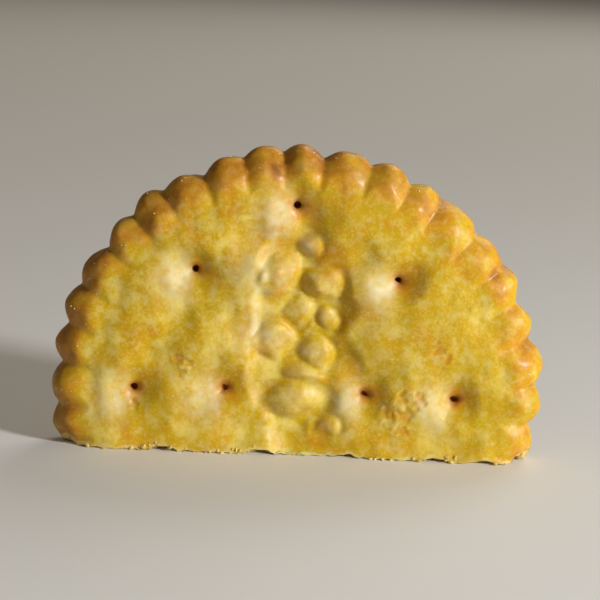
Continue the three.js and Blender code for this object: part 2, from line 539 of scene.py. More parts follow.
@dataclass(frozen=True)
class Blister:
    """One baked blister: place, half sizes, turn in degrees and rise."""

    x: float
    z: float
    half_width: float
    half_height: float
    turn: float
    height: float

    def square(self, x: np.ndarray, z: np.ndarray) -> np.ndarray:
        """The squared distance from the blister's middle, 1 at its edge.

        Args:
            x: The X of each point.
            z: The Z of each point.

        Returns:
            The squared distances.
        """
        angle = math.radians(self.turn)
        along = (x - self.x) * math.cos(angle) + (z - self.z) * math.sin(angle)
        across = (z - self.z) * math.cos(angle) - (x - self.x) * math.sin(angle)
        return (along / self.half_width) ** 2 + (across / self.half_height) ** 2


def wandering_squares(
    skin: Skin, blisters: tuple[Blister, ...], waves: tuple[Waves, Waves], drift: float
) -> list[np.ndarray]:
    """The squared distance of each point from each blister, 1 at an outline that wanders.

    Args:
        skin: The points.
        blisters: The blisters.
        waves: How the outlines wander along X and along Z.
        drift: How far they wander, in millimetres.

    Returns:
        One array for each blister.
    """
    x = skin.x + drift * waves[0].at(skin.points)
    z = skin.z + drift * waves[1].at(skin.points)
    return [blister.square(x, z) for blister in blisters]


@dataclass(frozen=True)
class BlisterBand:
    """Raised blisters in a shallow sunk band, down the middle of the shown face."""

    x: float = 0.3
    z: float = 5.4
    half_width: float = 5.2
    half_height: float = 11.8
    depth: float = 0.75
    floor: float = 0.78  # its edge slopes from this share of its half size
    floor_right: float = 0.62  # and from this one on the right, where it is gentler
    right_from: Span = (-2.5, 2.5)  # the right begins here, from its middle
    edge: float = 1.08  # to this one
    edge_waves: Waves = Waves(4.5, 25)
    edge_drift: float = 0.07
    dish_depth: float = 0.6  # the face round the band sinks towards it
    dish_reach: float = 7.5
    dish_radius: Span = (20.6, 15.0)  # where that starts, and where it is full
    trench: float = 0.14  # depth of the trench round each blister
    trench_place: float = 1.18  # in the blister's half sizes
    trench_reach: float = 0.26
    outline_waves: tuple[Waves, Waves] = (Waves(3.2, 21), Waves(3.2, 22))
    outline_drift: float = 0.15
    dome_foot: float = 0.02  # how softly a blister's slope runs out
    dome_end: Span = (1.9, 1.2)  # where it has run out, and where it starts to
    crumbly_from: Span = (0.05, 0.35)  # the rises over which crumbs appear
    crumbly: tuple[tuple[Waves, float], ...] = ((Waves(0.9, 23), 0.015), (Waves(1.9, 24), 0.04))
    blisters: tuple[Blister, ...] = (
        Blister(0.5, 14.6, 1.5, 1.0, 12, 0.4),
        Blister(-2.1, 11.6, 2.3, 1.8, 58, 0.9),
        Blister(2.1, 11.0, 1.9, 1.6, -25, 0.85),
        Blister(-0.1, 8.2, 1.4, 1.1, 30, 0.45),
        Blister(2.7, 7.6, 1.2, 1.0, -10, 0.45),
        Blister(-2.2, 5.2, 2.1, 1.7, 15, 0.85),
        Blister(1.5, 4.4, 1.8, 1.4, -35, 0.6),
        Blister(0.4, 2.0, 2.2, 0.8, -8, 0.3),
        Blister(-0.4, -0.6, 3.1, 1.7, 6, 0.9),
        Blister(3.1, -2.9, 1.1, 0.9, 20, 0.35),
    )

    def squares(self, skin: Skin) -> list[np.ndarray]:
        """The squared distance from each blister's uneven middle, 1 at its edge."""
        return wandering_squares(skin, self.blisters, self.outline_waves, self.outline_drift)

    def raised(self, skin: Skin) -> np.ndarray:
        """How far each point is up a blister, from 0 to 1."""
        tops = [np.clip(1.0 - square, 0.0, 1.0) for square in self.squares(skin)]
        return np.max(tops, axis=0) * skin.shown

    def sunk(self, skin: Skin) -> np.ndarray:
        """How far down in the band each point is, from 0 to 1.

        Args:
            skin: The points.

        Returns:
            From 0 outside to 1 on the floor.
        """
        drift = self.edge_drift * self.edge_waves.at(skin.points)
        out = np.hypot((skin.x - self.x) / self.half_width, (skin.z - self.z) / self.half_height)
        right = smooth_step(*self.right_from, skin.x - self.x)
        floor = self.floor + (self.floor_right - self.floor) * right
        return smooth_step(0.0, 1.0, (self.edge - out - drift) / (self.edge - floor))

    def slope(self, skin: Skin) -> np.ndarray:
        """Where the band's edge slopes, from 0 on its floor and outside to 1 halfway."""
        sunk = self.sunk(skin)
        return 4.0 * sunk * (1.0 - sunk)

    def rise(self, skin: Skin) -> np.ndarray:
        """The band, its trenches and its blisters.

        Args:
            skin: The points.

        Returns:
            The rise of each.
        """
        high = np.zeros(len(skin.x))
        ditch = np.zeros(len(skin.x))
        for blister, square in zip(self.blisters, self.squares(skin)):
            left = 1.0 - square
            dome = (left + np.sqrt(left**2 + self.dome_foot)) / 2
            dome *= smooth_step(*self.dome_end, square)
            high = np.maximum(high, blister.height * dome)
            away = np.sqrt(square) - self.trench_place
            ditch = np.maximum(ditch, bell(away, self.trench_reach))
        dish = bell(skin.x - self.x, self.dish_reach) * smooth_step(*self.dish_radius, skin.radius)
        total = high - self.depth * self.sunk(skin) - self.trench * ditch - self.dish_depth * dish
        for waves, height in self.crumbly:
            total += height * waves.at(skin.points) * smooth_step(*self.crumbly_from, high)
        return total * skin.shown


@dataclass(frozen=True)
class Swellings:
    """Low swellings between the holes: X, Z, reach and rise of each."""

    places: tuple[tuple[float, float, float, float], ...] = (
        (-14.5, 7.2, 3.4, 0.2),
        (-8.2, 6.2, 3.2, 0.16),
        (-6.8, 16.4, 3.0, 0.18),
        (7.2, 16.6, 3.0, 0.16),
        (8.4, 5.8, 3.0, 0.18),
        (15.0, 6.4, 3.6, 0.2),
        (-11.3, -3.6, 3.0, 0.14),
        (11.2, -3.4, 2.6, 0.16),
    )

    def rise(self, skin: Skin) -> np.ndarray:
        """The swellings of the shown face.

        Args:
            skin: The points.

        Returns:
            The rise of each.
        """
        total = np.zeros(len(skin.x))
        for x, z, reach, height in self.places:
            square = ((skin.x - x) ** 2 + (skin.z - z) ** 2) / reach**2
            total += height * np.clip(1.0 - square, 0.0, 1.0) ** 2
        return total * skin.shown


@dataclass(frozen=True)
class BurstBlisters:
    """Blisters of the shown face that burst in the oven and left shallow, crumbly pocks."""

    pocks: tuple[Blister, ...] = (
        Blister(10.2, 0.2, 0.75, 0.65, 0, 0.10),
        Blister(11.9, 0.0, 0.85, 0.75, 20, 0.10),
        Blister(10.6, -1.5, 0.8, 0.9, 0, 0.12),
        Blister(9.0, -1.3, 0.7, 0.9, 10, 0.10),
        Blister(10.3, -2.9, 0.7, 0.5, -20, 0.08),
        Blister(-11.5, 3.1, 0.7, 0.5, 15, 0.09),
        Blister(-10.4, 2.7, 0.6, 0.65, 0, 0.12),
        Blister(-11.1, 1.9, 0.5, 0.4, 0, 0.08),
        Blister(13.5, 5.2, 0.6, 0.55, 0, 0.06),
        Blister(14.3, 4.3, 0.5, 0.6, 0, 0.06),
        Blister(-15.7, -1.6, 0.55, 0.45, 10, 0.09),
        Blister(1.6, 10.0, 0.5, 0.4, 0, 0.06),
    )
    floor_edge: Span = (1.05, 0.55)  # where a pock starts, and where it is full
    ring_place: float = 1.15  # of the crumbs round it, in its half sizes
    ring_reach: float = 0.2
    ring_height: float = 0.05
    ring_crumbs: float = 0.9
    crumbs: Waves = Waves(0.45, 32)
    floor_crumbs: float = 0.03
    outline_waves: tuple[Waves, Waves] = (Waves(0.9, 31), Waves(0.9, 33))
    outline_drift: float = 0.16

    def squares(self, skin: Skin) -> list[np.ndarray]:
        """The squared distance from each pock's ragged middle, 1 at its edge."""
        return wandering_squares(skin, self.pocks, self.outline_waves, self.outline_drift)

    def open(self, skin: Skin) -> np.ndarray:
        """How far down on a pock's floor each point is, from 0 to 1."""
        inside = [smooth_step(*self.floor_edge, square) for square in self.squares(skin)]
        return np.max(inside, axis=0) * skin.shown

    def edge(self, skin: Skin) -> np.ndarray:
        """How near each point is to the crumbly edge of a pock, from 0 to 1.

        Args:
            skin: The points.

        Returns:
            From 0 to 1.
        """
        away = [np.sqrt(square) - self.ring_place for square in self.squares(skin)]
        ring = np.max([bell(each, self.ring_reach) for each in away], axis=0)
        return ring * (1 - self.open(skin)) * skin.shown

    def rise(self, skin: Skin) -> np.ndarray:
        """Sunk floors with raised crumbs round them.

        Args:
            skin: The points.

        Returns:
            The rise of each.
        """
        crumbs = self.crumbs.at(skin.points)
        total = self.ring_height * self.edge(skin) * (1.0 + self.ring_crumbs * crumbs)
        for pock, square in zip(self.pocks, self.squares(skin)):
            total -= pock.height * smooth_step(*self.floor_edge, square) * skin.shown
        return total + self.floor_crumbs * crumbs * self.open(skin)


@dataclass(frozen=True)
class Bubbles:
    """Small domes that gas raised all over the crust."""

    count: int = 620
    smallest: float = 0.22
    largest: float = 0.95
    rarity: int = 3  # how much rarer large ones are than small ones
    steepness: Span = (0.04, 0.11)  # height for each millimetre of reach
    roundness: float = 1.5
    arc: Span = (-0.3, math.pi + 0.3)
    shown_share: float = 0.62
    seed: int = 41

    def rise(self, skin: Skin) -> np.ndarray:
        """The bubbles of both faces and the rim.

        Args:
            skin: The points.

        Returns:
            The rise of each.
        """
        draw = np.random.default_rng(self.seed)
        total = np.zeros(len(skin.x))
        for _ in range(self.count):
            radius = skin.disc.tip_radius * math.sqrt(draw.uniform())
            angle = draw.uniform(*self.arc)
            reach = self.smallest + (self.largest - self.smallest) * draw.uniform() ** self.rarity
            height = reach * draw.uniform(*self.steepness)
            side = Side.SHOWN if draw.uniform() < self.shown_share else Side.BACK
            x, z = radius * math.cos(angle), radius * math.sin(angle)
            near = (np.abs(skin.x - x) < reach) & (np.abs(skin.z - z) < reach)
            near &= skin.y * side.value > 0
            square = ((skin.x[near] - x) ** 2 + (skin.z[near] - z) ** 2) / reach**2
            total[near] += height * np.clip(1.0 - square, 0.0, 1.0) ** self.roundness
        return total


@dataclass(frozen=True)
class Undulation:
    """Unevenness of the baked skin at falling sizes, and bumps on its back."""

    sizes: tuple[tuple[Waves, float], ...] = (
        (Waves(6.0, 50), 0.15),
        (Waves(2.8, 51), 0.045),
        (Waves(1.0, 52), 0.006),
    )
    bump_waves: Waves = Waves(3.0, 80)
    bump_height: float = 0.3
    bump_range: Span = (0.4, 1.9)  # of the waves

    def bumps(self, skin: Skin) -> np.ndarray:
        """Where the back has risen, from 0 to 1."""
        return smooth_step(*self.bump_range, self.bump_waves.at(skin.points)) * skin.back

    def rise(self, skin: Skin) -> np.ndarray:
        """The unevenness at each point."""
        total = sum(height * waves.at(skin.points) for waves, height in self.sizes)
        return total + self.bump_height * self.bumps(skin)


@dataclass(frozen=True)
class BrokenEdge:
    """The snapped face: layered crumb with pores, and a ragged outline."""

    reach: float = 2.6  # the roughness has died away this far above the break
    flake_height: float = 0.22
    grain_height: float = 0.07
    ragged_height: float = 0.07
    pore_height: float = 0.5
    layers: Waves = Waves(1.5, 61, stretch=(3.2, 0.75, 1.0))
    grain: Waves = Waves(0.7, 62)
    pores: Waves = Waves(1.6, 63, stretch=(1.8, 0.8, 1.0))
    rags: Waves = Waves(0.9, 64)
    lost_crust: Waves = Waves(1.3, 65)
    flake_level: float = 0.6
    flake_spread: float = 0.5
    flaky_edge: float = 0.2  # how much of that is left at the crust
    ragged_level: float = 0.4
    pore_range: Span = (0.75, 1.7)  # of the waves
    ragged_from: Span = (0.55, 1.0)  # fullness, from the crumb to the crust
    chip_power: float = 0.8
    lost_height: float = 0.16  # how far above the break the crust is lost
    lost_chips: float = 0.5
    lost_border: Span = (0.12, -0.05)
    chip_length: float = 1.5  # a chip is longer than it is wide by this
    chips: tuple[tuple[float, float, float, float], ...] = (  # X, Y, reach and height of each
        (23.2, -1.6, 1.5, 0.9),
        (-22.9, -2.0, 1.2, 0.7),
        (-12.6, -2.5, 0.9, 0.45),
        (-3.4, -2.5, 1.0, 0.5),
        (5.2, -2.4, 0.8, 0.4),
        (13.8, -2.5, 0.9, 0.45),
        (18.6, -2.4, 0.7, 0.4),
        (-17.2, 2.5, 1.2, 0.6),
        (-6.4, 2.4, 1.0, 0.5),
        (9.6, 2.5, 1.3, 0.7),
        (20.1, 2.4, 0.9, 0.5),
    )

    def chipped(self, skin: Skin, power: float) -> np.ndarray:
        """The height of the chips.

        Args:
            skin: The points.
            power: How flat the chips are: steeper for a lower one.

        Returns:
            The height of each in millimetres.
        """
        total = np.zeros(len(skin.x))
        for x, y, reach, height in self.chips:
            out = np.hypot((skin.x - x) / (self.chip_length * reach), (skin.y - y) / reach)
            total += height * np.clip(1.0 - out**2, 0.0, 1.0) ** power
        return total

    def lift(self, skin: Skin) -> np.ndarray:
        """How far the broken face is raised at each point, seen from below.

        Args:
            skin: The points, before they are moved.

        Returns:
            The lift in millimetres, which is never below 0.
        """
        flat = skin.points * np.array([1.0, 1.0, 0.0])
        pores = smooth_step(*self.pore_range, self.pores.at(flat))
        ragged = smooth_step(*self.ragged_from, skin.fullness)
        flakes = self.flake_height * (self.flake_level + self.flake_spread * self.layers.at(flat))
        lift = flakes + self.grain_height * self.grain.at(flat)
        lift *= 1 - (1 - self.flaky_edge) * ragged
        lift += self.pore_height * pores * (1 - ragged)
        lift += self.ragged_height * ragged * (self.rags.at(flat) + self.ragged_level)
        return np.clip(lift + self.chipped(skin, self.chip_power), 0.0, None)

    def fade(self, skin: Skin) -> np.ndarray:
        """How much of the lift a point takes, from 1 on the break to 0 above it."""
        return np.clip(1.0 - skin.above_break / self.reach, 0.0, 1.0) ** 2

    def bare(self, skin: Skin) -> np.ndarray:
        """Where the crumb is bare: the break itself, and chips in the crust beside it.

        Args:
            skin: The points.

        Returns:
            From 0 to 1.
        """
        lost = self.lost_height * (1.0 + self.lost_crust.at(skin.points))
        lost += self.lost_chips * self.chipped(skin, 1.0)
        return smooth_step(*self.lost_border, skin.above_break - lost)


# ---------------------------------------------------------------------------------------------
# Finishes
# ---------------------------------------------------------------------------------------------


Colour = tuple[float, float, float]
WHITE: Colour = (1.0, 1.0, 1.0)
FLOAT = "NodeSocketFloat"
VECTOR = "NodeSocketVector"


def rgba(colour: Colour) -> tuple[float, float, float, float]:
    """A colour with full cover, as a socket takes it."""
    return (*colour, 1.0)


class NodeTree:
    """A short way to build a material's or a group's nodes."""

    def __init__(self, tree: bpy.types.NodeTree) -> None:
        """Takes the tree that nodes are added to."""
        self.tree = tree
        self.column = 0

    def add(self, kind: str, **inputs: object) -> bpy.types.Node:
        """Adds a node and fills its inputs.

        Args:
            kind: The node's type.
            inputs: Values or output sockets by input name, with _ for a space.

        Returns:
            The new node.
        """
        node = self.tree.nodes.new(kind)
        self.column += 1
        node.location = (180 * self.column, -60 * (self.column % 4))
        for name, value in inputs.items():
            self.feed(node.inputs[name.replace("_", " ")], value)
        return node

    def feed(self, socket: bpy.types.NodeSocket, value: object) -> None:
        """Links an output to a socket, or sets the socket's own value.

        Args:
            socket: The input.
            value: A value or an output socket.
        """
        if isinstance(value, bpy.types.NodeSocket):
            self.tree.links.new(value, socket)
        else:
            socket.default_value = value

    def maths(
        self, operation: str, first: object, second: object = 0.0, clamp: bool = True
    ) -> bpy.types.NodeSocket:
        """A Math node.

        Args:
            operation: The node's operation.
            first: A value or an output socket.
            second: A value or an output socket.
            clamp: Whether the result is kept from 0 to 1.

        Returns:
            The result.
        """
        node = self.add("ShaderNodeMath")
        node.operation = operation
        node.use_clamp = clamp
        self.feed(node.inputs[0], first)
        self.feed(node.inputs[1], second)
        return node.outputs[0]

    def blend(self, share: object, base: object, top: object) -> bpy.types.NodeSocket:
        """A colour Mix node.

        Args:
            share: How much of the top colour shows.
            base: The colour under it.
            top: The colour over it.

        Returns:
            The mixed colour.
        """
        node = self.add("ShaderNodeMix")
        node.data_type = "RGBA"
        self.feed(node.inputs[0], share)
        self.feed(node.inputs[6], base)
        self.feed(node.inputs[7], top)
        return node.outputs[2]

    def ramp(self, value: object, low: float, high: float) -> bpy.types.NodeSocket:
        """Maps a value to 0 to 1 between two limits, smoothly.

        Args:
            value: The value or socket to map.
            low: Where the result is 0.
            high: Where the result is 1.

        Returns:
            The mapped value.
        """
        node = self.add("ShaderNodeMapRange", Value=value, From_Min=low, From_Max=high)
        node.interpolation_type = "SMOOTHSTEP"
        return node.outputs["Result"]

    def mask(self, name: str) -> bpy.types.NodeSocket:
        """Reads one of the mesh's own masks.

        Args:
            name: The attribute's name.

        Returns:
            Its value.
        """
        node = self.add("ShaderNodeAttribute")
        node.attribute_name = name
        return node.outputs["Fac"]

    def noise(self, size: object, detail: float, roughness: float) -> bpy.types.NodeSocket:
        """Noise that is fixed to the piece.

        Args:
            size: Its size in millimetres, as a value or an output socket.
            detail: How many finer sizes are added.
            roughness: How strong they are.

        Returns:
            The noise, about 0.5.
        """
        place = self.add("ShaderNodeTexCoord").outputs["Object"]
        scale = self.maths("DIVIDE", 1.0 / MM, size, clamp=False)
        kind = "ShaderNodeTexNoise"
        node = self.add(kind, Vector=place, Scale=scale, Detail=detail, Roughness=roughness)
        return node.outputs["Fac"]


class Effect:
    """A shader node group that several materials use. It is built once."""

    name: str
    inputs: dict[str, float]
    outputs: dict[str, str]

    @classmethod
    def fill(cls, nodes: NodeTree, source: bpy.types.Node, sink: bpy.types.Node) -> None:
        """Adds the group's own nodes.

        Args:
            nodes: The group's nodes.
            source: The node that gives the group's inputs.
            sink: The node that takes its outputs.
        """
        raise NotImplementedError

    @classmethod
    def group(cls) -> bpy.types.NodeTree:
        """Makes the group, or returns the one already made.

        Returns:
            The group's nodes.
        """
        if cls.name in bpy.data.node_groups:
            return bpy.data.node_groups[cls.name]
        tree = bpy.data.node_groups.new(cls.name, "ShaderNodeTree")
        for label, default in cls.inputs.items():
            socket = tree.interface.new_socket(label, in_out="INPUT", socket_type=FLOAT)
            socket.default_value = default
        for label, kind in cls.outputs.items():
            tree.interface.new_socket(label, in_out="OUTPUT", socket_type=kind)
        source = tree.nodes.new("NodeGroupInput")
        cls.fill(NodeTree(tree), source, tree.nodes.new("NodeGroupOutput"))
        return tree

    @classmethod
    def add(cls, nodes: NodeTree, *values: float) -> bpy.types.Node:
        """Places the group in a material.

        Args:
            nodes: The material's nodes.
            values: The group's input values, in their order.

        Returns:
            The group node.
        """
        node = nodes.add("ShaderNodeGroup")
        node.node_tree = cls.group()
        for label, value in zip(cls.inputs, values):
            node.inputs[label].default_value = value
        return node


class BakedGrain(Effect):
    """The fine grain of baked dough, as a normal and as a mask. Sizes in millimetres."""

    name = "baked_grain"
    inputs = {"Size": 0.25, "Height": 0.03}
    outputs = {"Normal": VECTOR, "Grain": FLOAT}

    @classmethod
    def fill(cls, nodes: NodeTree, source: bpy.types.Node, sink: bpy.types.Node) -> None:
        """Adds noise, and a bump that it drives.

        Args:
            nodes: The group's own nodes.
            source: The node that gives the group's inputs.
            sink: The node that takes its outputs.
        """
        fine = nodes.noise(source.outputs["Size"], detail=3.0, roughness=0.62)
        height = nodes.maths("MULTIPLY", source.outputs["Height"], MM, clamp=False)
        bump = nodes.add("ShaderNodeBump", Strength=1.0, Height=fine, Distance=height)
        nodes.feed(sink.inputs["Normal"], bump.outputs["Normal"])
        nodes.feed(sink.inputs["Grain"], fine)


class Mottle(Effect):
    """Soft patches of two kinds, as masks. Their size is in millimetres."""

    name = "mottle"
    inputs = {"Size": 1.0}
    outputs = {"Warm": FLOAT, "Cool": FLOAT}

    @classmethod
    def fill(cls, nodes: NodeTree, source: bpy.types.Node, sink: bpy.types.Node) -> None:
        """Adds noise, whose high parts are warm and whose low parts are cool.

        Args:
            nodes: The group's own nodes.
            source: The node that gives the group's inputs.
            sink: The node that takes its outputs.
        """
        noise = nodes.noise(source.outputs["Size"], detail=4.0, roughness=0.6)
        nodes.feed(sink.inputs["Warm"], nodes.ramp(noise, 0.50, 0.64))
        nodes.feed(sink.inputs["Cool"], nodes.ramp(noise, 0.50, 0.36))


@dataclass(frozen=True)
class Finish:
    """What every finish has: a name, how far light goes in, and a way to start its material."""

    name: str = "finish"
    glow: float = 0.0  # share of the light that goes in
    glow_colour: Colour = WHITE
    glow_depth: float = 0.0  # millimetres

    def start(self) -> tuple[bpy.types.Material, NodeTree, bpy.types.Node]:
        """Starts the material.

        Returns:
            The material, its nodes and its shader.
        """
        material = bpy.data.materials.new(self.name)
        material.use_nodes = True
        shader = material.node_tree.nodes["Principled BSDF"]
        shader.inputs["Subsurface Weight"].default_value = self.glow
        shader.inputs["Subsurface Radius"].default_value = self.glow_colour
        shader.inputs["Subsurface Scale"].default_value = self.glow_depth * MM
        return material, NodeTree(material.node_tree), shader


@dataclass(frozen=True)
class CrustFinish(Finish):
    """Baked crust, golden on the faces and browner and glossier on the rim."""

    name: str = "baked_crust"
    glow: float = 0.4
    glow_colour: Colour = (1.0, 0.42, 0.08)
    glow_depth: float = 0.9
    pale: Colour = (0.74, 0.57, 0.11)
    golden: Colour = (0.60, 0.385, 0.002)
    amber: Colour = (0.62, 0.295, 0.002)
    brown: Colour = (0.43, 0.165, 0.003)
    dark: Colour = (0.20, 0.062, 0.002)
    green_tint: Colour = (0.50, 0.355, 0.002)
    # pinkish-white flecks on the paler crust: tone that varies, and painted glints
    pink_tint: Colour = (0.74, 0.60, 0.27)
    # pale dough, and a painted sheen on the lit slopes
    cream_and_sheen: Colour = (0.66, 0.59, 0.37)
    speck: Colour = (0.50, 0.29, 0.006)
    crumb: Colour = (0.78, 0.58, 0.20)
    # painted shade deep in the pits and round their mouths
    pit: Colour = (0.30, 0.085, 0.003)
    patch_size: float = 3.4
    fleck_size: float = 0.95
    speck_size: float = 0.3
    grain_size: float = 0.30
    grain_height: float = 0.026
    warm_patches: float = 0.14  # how much browner the warm patches are
    warm_flecks: float = 0.09
    green_share: float = 0.35
    speck_share: float = 0.14
    pink_flecks: float = 0.34
    pink_specks: float = 0.26
    cream_and_sheen_share: float = 0.68
    face_roughness: float = 0.31
    brown_roughness: float = 0.40  # added where the crust is brownest
    uneven_roughness: float = 0.12
    oily_from: Span = (0.25, 0.6)  # how brown the oily crust is, on the browning mask with its painted shade
    oily_share: float = 0.35
    oily_roughness: float = 0.3
    gloss: float = 0.28

    def baked(self, nodes: NodeTree, browning_and_shade: bpy.types.NodeSocket) -> bpy.types.NodeSocket:
        """The crust's colour for how far it is baked, painted shade and painted light included.

        Args:
            nodes: The material's nodes.
            browning_and_shade: How brown the crust is, painted shade and painted light included,
                from 0 to 1.

        Returns:
            The colour.
        """
        node = nodes.add("ShaderNodeValToRGB", Fac=browning_and_shade)
        stops = node.color_ramp.elements
        stops[0].position, stops[0].color = 0.0, rgba(self.pale)
        stops[1].position, stops[1].color = 1.0, rgba(self.dark)
        for position, colour in ((0.22, self.golden), (0.5, self.amber), (0.78, self.brown)):
            stops.new(position).color = rgba(colour)
        return node.outputs["Color"]

    def make(self) -> bpy.types.Material:
        """Builds the material, which reads the piece's browning, cream, crumb and pit masks. The
        browning mask carries painted shade and painted light, the cream mask a painted sheen and
        the pit mask painted shade.

        Returns:
            The crust material.
        """
        material, nodes, shader = self.start()
        patches = Mottle.add(nodes, self.patch_size)
        flecks = Mottle.add(nodes, self.fleck_size)
        specks = Mottle.add(nodes, self.speck_size)
        grain = BakedGrain.add(nodes, self.grain_size, self.grain_height)

        # the browning mask, which carries painted shade and painted light as well
        baked = nodes.mask("browning_and_shade")
        browning_and_shade = baked
        for patch, share in ((patches, self.warm_patches), (flecks, self.warm_flecks)):
            warmer = nodes.maths("MULTIPLY", patch.outputs["Warm"], share)
            browning_and_shade = nodes.maths("ADD", browning_and_shade, warmer)
        colour = self.baked(nodes, browning_and_shade)

        green = nodes.maths("MULTIPLY", patches.outputs["Cool"], self.green_share)
        colour = nodes.blend(green, colour, rgba(self.green_tint))
        dusky = nodes.maths("MULTIPLY", specks.outputs["Warm"], self.speck_share)
        colour = nodes.blend(dusky, colour, rgba(self.speck))
        fair = nodes.maths("SUBTRACT", 1.0, baked)
        # pinkish-white flecks: tone that varies, and painted glints
        for patch, share in ((flecks, self.pink_flecks), (specks, self.pink_specks)):
            pink = nodes.maths("MULTIPLY", patch.outputs["Cool"], share)
            pink = nodes.maths("MULTIPLY", pink, fair)
            colour = nodes.blend(pink, colour, rgba(self.pink_tint))
        # pale dough, and a painted sheen on the lit slopes of the dimples and the band
        creamy_sheen = nodes.maths("MULTIPLY", nodes.mask("cream_and_sheen"), self.cream_and_sheen_share)
        colour = nodes.blend(creamy_sheen, colour, rgba(self.cream_and_sheen))
        colour = nodes.blend(nodes.mask("crumb"), colour, rgba(self.crumb))
        # painted shade deep in the pits and round their mouths
        colour = nodes.blend(nodes.mask("pit"), colour, rgba(self.pit))
        nodes.feed(shader.inputs["Base Color"], colour)

        matt = nodes.maths("MULTIPLY", baked, self.brown_roughness)
        rough = nodes.maths("ADD", self.face_roughness, matt)
        uneven = nodes.maths("MULTIPLY", grain.outputs["Grain"], self.uneven_roughness)
        nodes.feed(shader.inputs["Roughness"], nodes.maths("ADD", rough, uneven))
        nodes.feed(shader.inputs["Normal"], grain.outputs["Normal"])
        oily = nodes.maths("MULTIPLY", nodes.ramp(baked, *self.oily_from), self.oily_share)
        nodes.feed(shader.inputs["Coat Weight"], oily)
        shader.inputs["Coat Roughness"].default_value = self.oily_roughness
        shader.inputs["Specular IOR Level"].default_value = self.gloss
        return material


@dataclass(frozen=True)
class GrainFinish(Finish):
    """Loose grains, each of its own tone between two colours."""

    light: Colour = WHITE
    deep: Colour = WHITE
    fleck_size: float = 0.0  # of flecks of the deep tone, if there are any
    grain_size: float = 0.1
    grain_height: float = 0.01
    roughness: Span = (0.0, 1.0)  # the grain's values where it is 0 and 1

    def make(self) -> bpy.types.Material:
        """Builds the material, which reads each grain's own tone.

        Returns:
            The grains' material.
        """
        material, nodes, shader = self.start()
        grain = BakedGrain.add(nodes, self.grain_size, self.grain_height)
        tone = nodes.mask("tone")
        if self.fleck_size > 0.0:
            flecks = Mottle.add(nodes, self.fleck_size)
            tone = nodes.maths("ADD", tone, flecks.outputs["Warm"])
        colour = nodes.blend(tone, rgba(self.light), rgba(self.deep))
        nodes.feed(shader.inputs["Base Color"], colour)
        rough = nodes.ramp(grain.outputs["Grain"], *self.roughness)
        nodes.feed(shader.inputs["Roughness"], rough)
        nodes.feed(shader.inputs["Normal"], grain.outputs["Normal"])
        return material


CRUMB = GrainFinish(
    name="loose_crumb",
    glow=0.2,
    glow_colour=(1.0, 0.6, 0.25),
    glow_depth=0.5,
    light=(0.80, 0.62, 0.25),
    deep=(0.60, 0.36, 0.06),
    fleck_size=0.4,
    grain_size=0.16,
    grain_height=0.03,
    roughness=(-0.9, 0.9),
)

SALT = GrainFinish(
    name="salt_grain",
    glow=0.3,
    glow_colour=(1.0, 0.9, 0.7),
    glow_depth=0.2,
    light=(0.93, 0.88, 0.76),
    deep=(0.86, 0.66, 0.32),
    grain_size=0.08,
    grain_height=0.01,
    roughness=(0.0, 2.2),
)


@dataclass(frozen=True)
class FloorFinish(Finish):
    """A plain pale studio floor."""

    name: str = "pale_floor"
    colour: Colour = (0.80, 0.79, 0.77)
    roughness: float = 0.75

    def make(self) -> bpy.types.Material:
        """Builds the floor's material.

        Returns:
            The floor's material.
        """
        material, _, shader = self.start()
        shader.inputs["Base Color"].default_value = rgba(self.colour)
        shader.inputs["Roughness"].default_value = self.roughness
        return material


# ---------------------------------------------------------------------------------------------
# The pieces
# ---------------------------------------------------------------------------------------------


@dataclass(frozen=True)
class BrownAndShadeShares:
    """What browns or pales the crust, with painted shade and painted light laid in, as shares of
    the way from pale to dark that add up.

    Each span tells over which places, in millimetres where nothing else is said, a share grows.
    """

    face: float = 0.17
    uneven: float = 0.03
    uneven_rim: float = 0.06
    patches: Waves = Waves(5.0, 71)
    clouds: Waves = Waves(1.8, 72)
    fair: float = -0.14  # paler patches of the shown face: tone that varies, and painted light that makes them stronger on its left
    fair_on_right: float = 0.3
    right_from: Span = (-2.0, 9.0)
    right_lean: float = 0.3
    fair_range: Span = (0.0, 1.6)  # of the waves
    fair_waves: Waves = Waves(2.6, 78)
    back: float = 0.02
    back_bumps: float = 0.16
    # painted shade: the top of the shown face is darker
    top: float = 0.08
    top_from: Span = (9.0, 20.0)
    rim: float = 0.19
    rim_from: Span = (-0.25, 0.75)  # of the rim's width
    # the rim is browner on its left: toasting, and painted shade on the side turned from the light
    rim_left: float = 0.24
    left_from: Span = (0.75, 0.2)  # the cosine of the place round the disc
    rim_corner: float = 0.24
    corner: float = 145.0  # degrees round the disc, where the rim is darkest: toasting, and painted shade
    corner_from: Span = (0.1, 0.95)
    # the notches are browner: toasting, and painted shade in the creases
    notch: float = 0.14
    notch_from: Span = (0.0, 0.6)
    notch_corner: float = 0.10
    # a browner ring round each hole: reddish crust, and painted shade
    holes: float = 0.36
    hole_reach: float = 0.75
    blisters: float = 0.05
    # painted shade on the shaded side of each dimple and on the band's right slope
    ochre_shade: float = 0.27
    pocks: float = 0.26
    pock_edges: float = -0.05
    brownest: float = 0.52  # what adds up to more is eased off
    easing: float = 0.2


